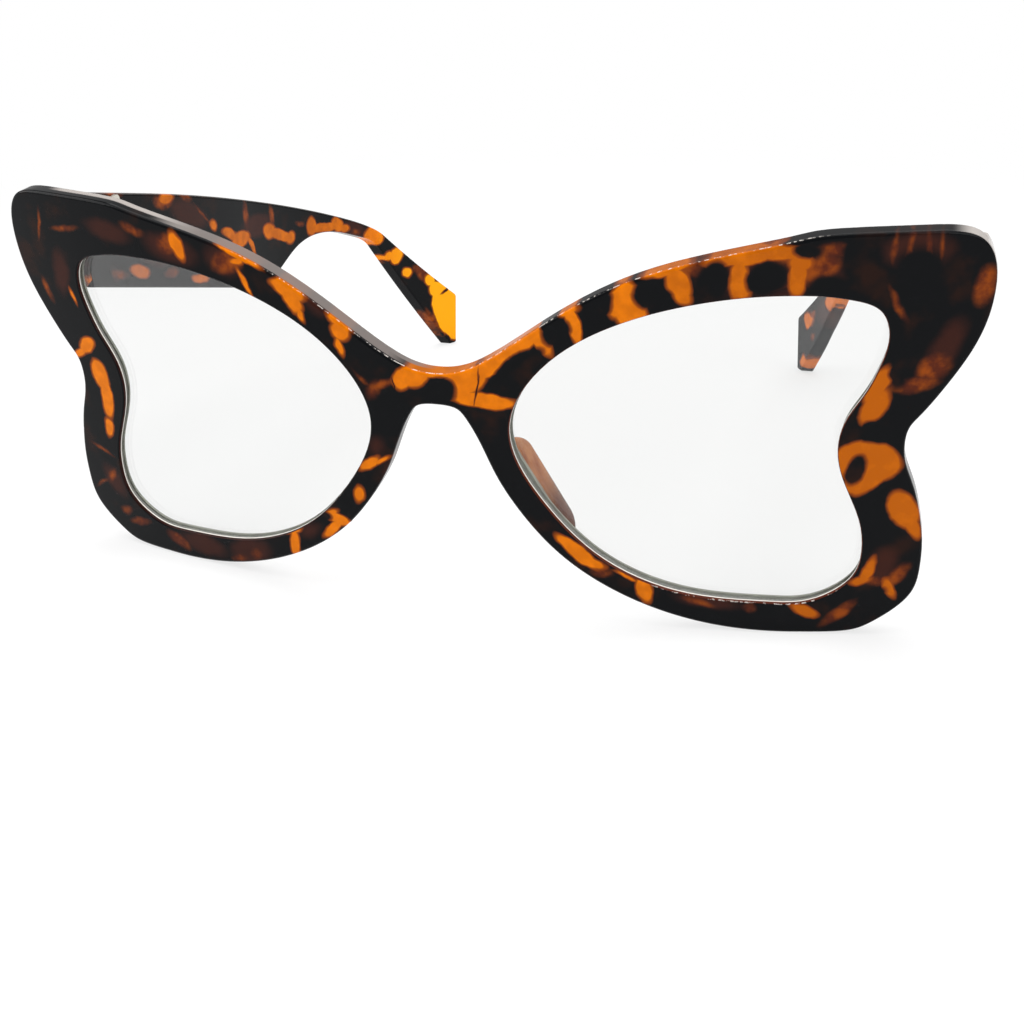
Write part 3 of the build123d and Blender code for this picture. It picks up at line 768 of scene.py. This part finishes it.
def makeCamera(place):
    yaw, pitch, roll = (math.radians(place[key]) for key in ("yaw", "pitch", "roll"))
    back = Vector((math.sin(yaw) * math.cos(pitch), -math.cos(yaw) * math.cos(pitch), math.sin(pitch)))
    side = Vector((math.cos(yaw), math.sin(yaw), 0))
    top = back.cross(side)
    rolledSide = side * math.cos(roll) + top * math.sin(roll)
    rolledTop = top * math.cos(roll) - side * math.sin(roll)
    turn = Matrix((rolledSide, rolledTop, back)).transposed().to_4x4()
    spot = Vector(place["lookAt"]) + back * place["distance"]
    inFrame = fromDrawing @ Matrix.Translation(spot) @ turn
    inFrame.translation *= millimetre
    data = bpy.data.cameras.new("camera")
    data.lens = place["lens"]
    data.sensor_width = place["sensor"]
    data.shift_y = -place["shiftDown"]
    data.clip_start = place["nearest"]
    camera = bpy.data.objects.new("camera", data)
    camera.matrix_world = inFrame
    bpy.context.scene.collection.objects.link(camera)
    bpy.context.scene.camera = camera


makeCamera(cameraPlace)

# White floor: bright to the camera, in mirrors and through the lenses, and it keeps the shadows
floorLook = {
    "size": 8.0,
    "height": -0.0001,  # just below the rims and arm feet
    "white": (0.86, 0.86, 0.86, 1),
    "whiter": (0.88, 0.88, 0.88, 1),
    "paper": {"scale": 40.0, "detail": 2.0},
    "roughness": 0.8,
    "glow": {"Color": (1, 1, 1, 1), "Strength": 1.0},
    "glowShareNear": 0.74,  # rises to 1 further away
    "away": (0.12, 0.40),  # metres from the middle
}


def seenDirectly(tree):
    path = addNode(tree, "ShaderNodeLightPath").outputs
    return doMath(tree, "MAXIMUM", path["Is Camera Ray"], path["Is Transmission Ray"])


def seenInMirror(tree):
    return addNode(tree, "ShaderNodeLightPath").outputs["Is Glossy Ray"]


def makeFloor(look):
    bpy.ops.mesh.primitive_plane_add(size=look["size"], location=(0, 0, look["height"]))
    floor = bpy.context.object
    floor.name = "floor"
    material, tree, shader = newMaterial("paleFloor")
    point = addNode(tree, "ShaderNodeTexCoord").outputs["Object"]
    paper = cloud(tree, point, look["paper"])[0]
    tree.links.new(blendColour(tree, paper, look["white"], look["whiter"]), shader.inputs["Base Color"])
    shader.inputs["Roughness"].default_value = look["roughness"]
    glow = addNode(tree, "ShaderNodeEmission", look["glow"]).outputs[0]
    away = addNode(tree, "ShaderNodeVectorMath", {0: point}, operation="LENGTH").outputs["Value"]
    near = look["glowShareNear"]
    spread = doMath(tree, "MULTIPLY_ADD", fade(tree, away, look["away"]), 1.0 - near, near)
    seen = doMath(tree, "MAXIMUM", seenDirectly(tree), seenInMirror(tree))
    inputs = {0: multiply(tree, seen, spread), 1: shader.outputs[0], 2: glow}
    final = addNode(tree, "ShaderNodeMixShader", inputs).outputs[0]
    tree.links.new(final, tree.nodes["Material Output"].inputs["Surface"])
    floor.data.materials.append(material)


makeFloor(floorLook)

# Light: an even pale room, a large soft panel overhead and one each side; places in metres
roomLight = {"level": 0.42, "colour": (1, 1, 1, 1)}
panelAim = (0, 0, 0.03)
panels = {
    "overhead": {"place": (0.0, 0.10, 0.70), "size": 0.9, "power": 6.5},
    "leftPanel": {"place": (-0.70, -0.25, 0.45), "size": 0.6, "power": 3.6},
    "rightPanel": {"place": (0.60, -0.45, 0.40), "size": 0.5, "power": 2.2},
}


# The room is white where it is seen, and as bright as its level where it only lights the glasses
def makeRoom(light):
    world = bpy.data.worlds.new("room")
    bpy.context.scene.world = world
    world.use_nodes = True
    tree = world.node_tree
    background = tree.nodes["Background"]
    strength = doMath(tree, "MULTIPLY_ADD", seenDirectly(tree), 1.0 - light["level"], light["level"])
    tree.links.new(strength, background.inputs["Strength"])
    background.inputs["Color"].default_value = light["colour"]


def makePanel(name, panel):
    data = bpy.data.lights.new(name, "AREA")
    data.shape = "SQUARE"
    data.size = panel["size"]
    data.energy = panel["power"]
    lamp = bpy.data.objects.new(name, data)
    lamp.location = panel["place"]
    lamp.rotation_euler = (Vector(panelAim) - Vector(panel["place"])).to_track_quat("-Z", "Y").to_euler()
    bpy.context.scene.collection.objects.link(lamp)


makeRoom(roomLight)
for name, panel in panels.items():
    makePanel(name, panel)
bpy.context.scene.view_settings.view_transform = "Standard"
print("camera, floor and light: done")
